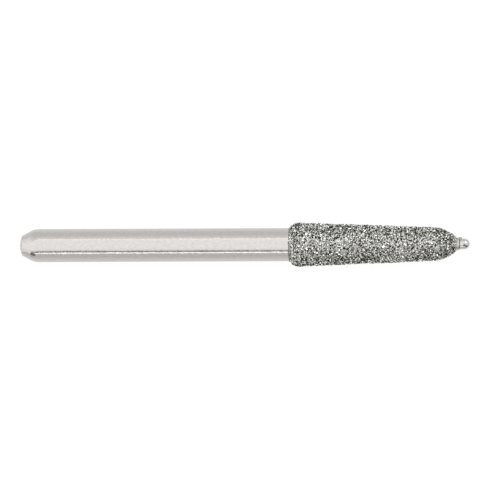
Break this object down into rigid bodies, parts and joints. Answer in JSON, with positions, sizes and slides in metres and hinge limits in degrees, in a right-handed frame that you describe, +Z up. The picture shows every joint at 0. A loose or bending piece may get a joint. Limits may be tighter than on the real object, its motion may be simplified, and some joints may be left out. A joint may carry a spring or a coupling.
{
  "type": "dental bur",
  "caption": "Tapered diamond dental bur for crown preparation, with a rounded nose, a smooth guide pin at its tip and a plain round shank held in a high-speed handpiece.",
  "frame": {"origin": "on the axis, half way along the straight part of the shank that the chuck grips", "axes": "+X along the axis towards the guide pin's tip, +Z up, +Y to the side"},
  "size_m": [0.0217, 0.0022, 0.0022],
  "materials": {
    "steel": "turned and finely polished stainless steel, slightly warm",
    "diamond_coat": "coarse diamond grit in satin electroplated nickel, grey with a faint green-yellow tint"
  },
  "bodies": {
    "root": {"steel_blank": "steel", "diamond_coat": "diamond_coat"}
  },
  "joints": []
}
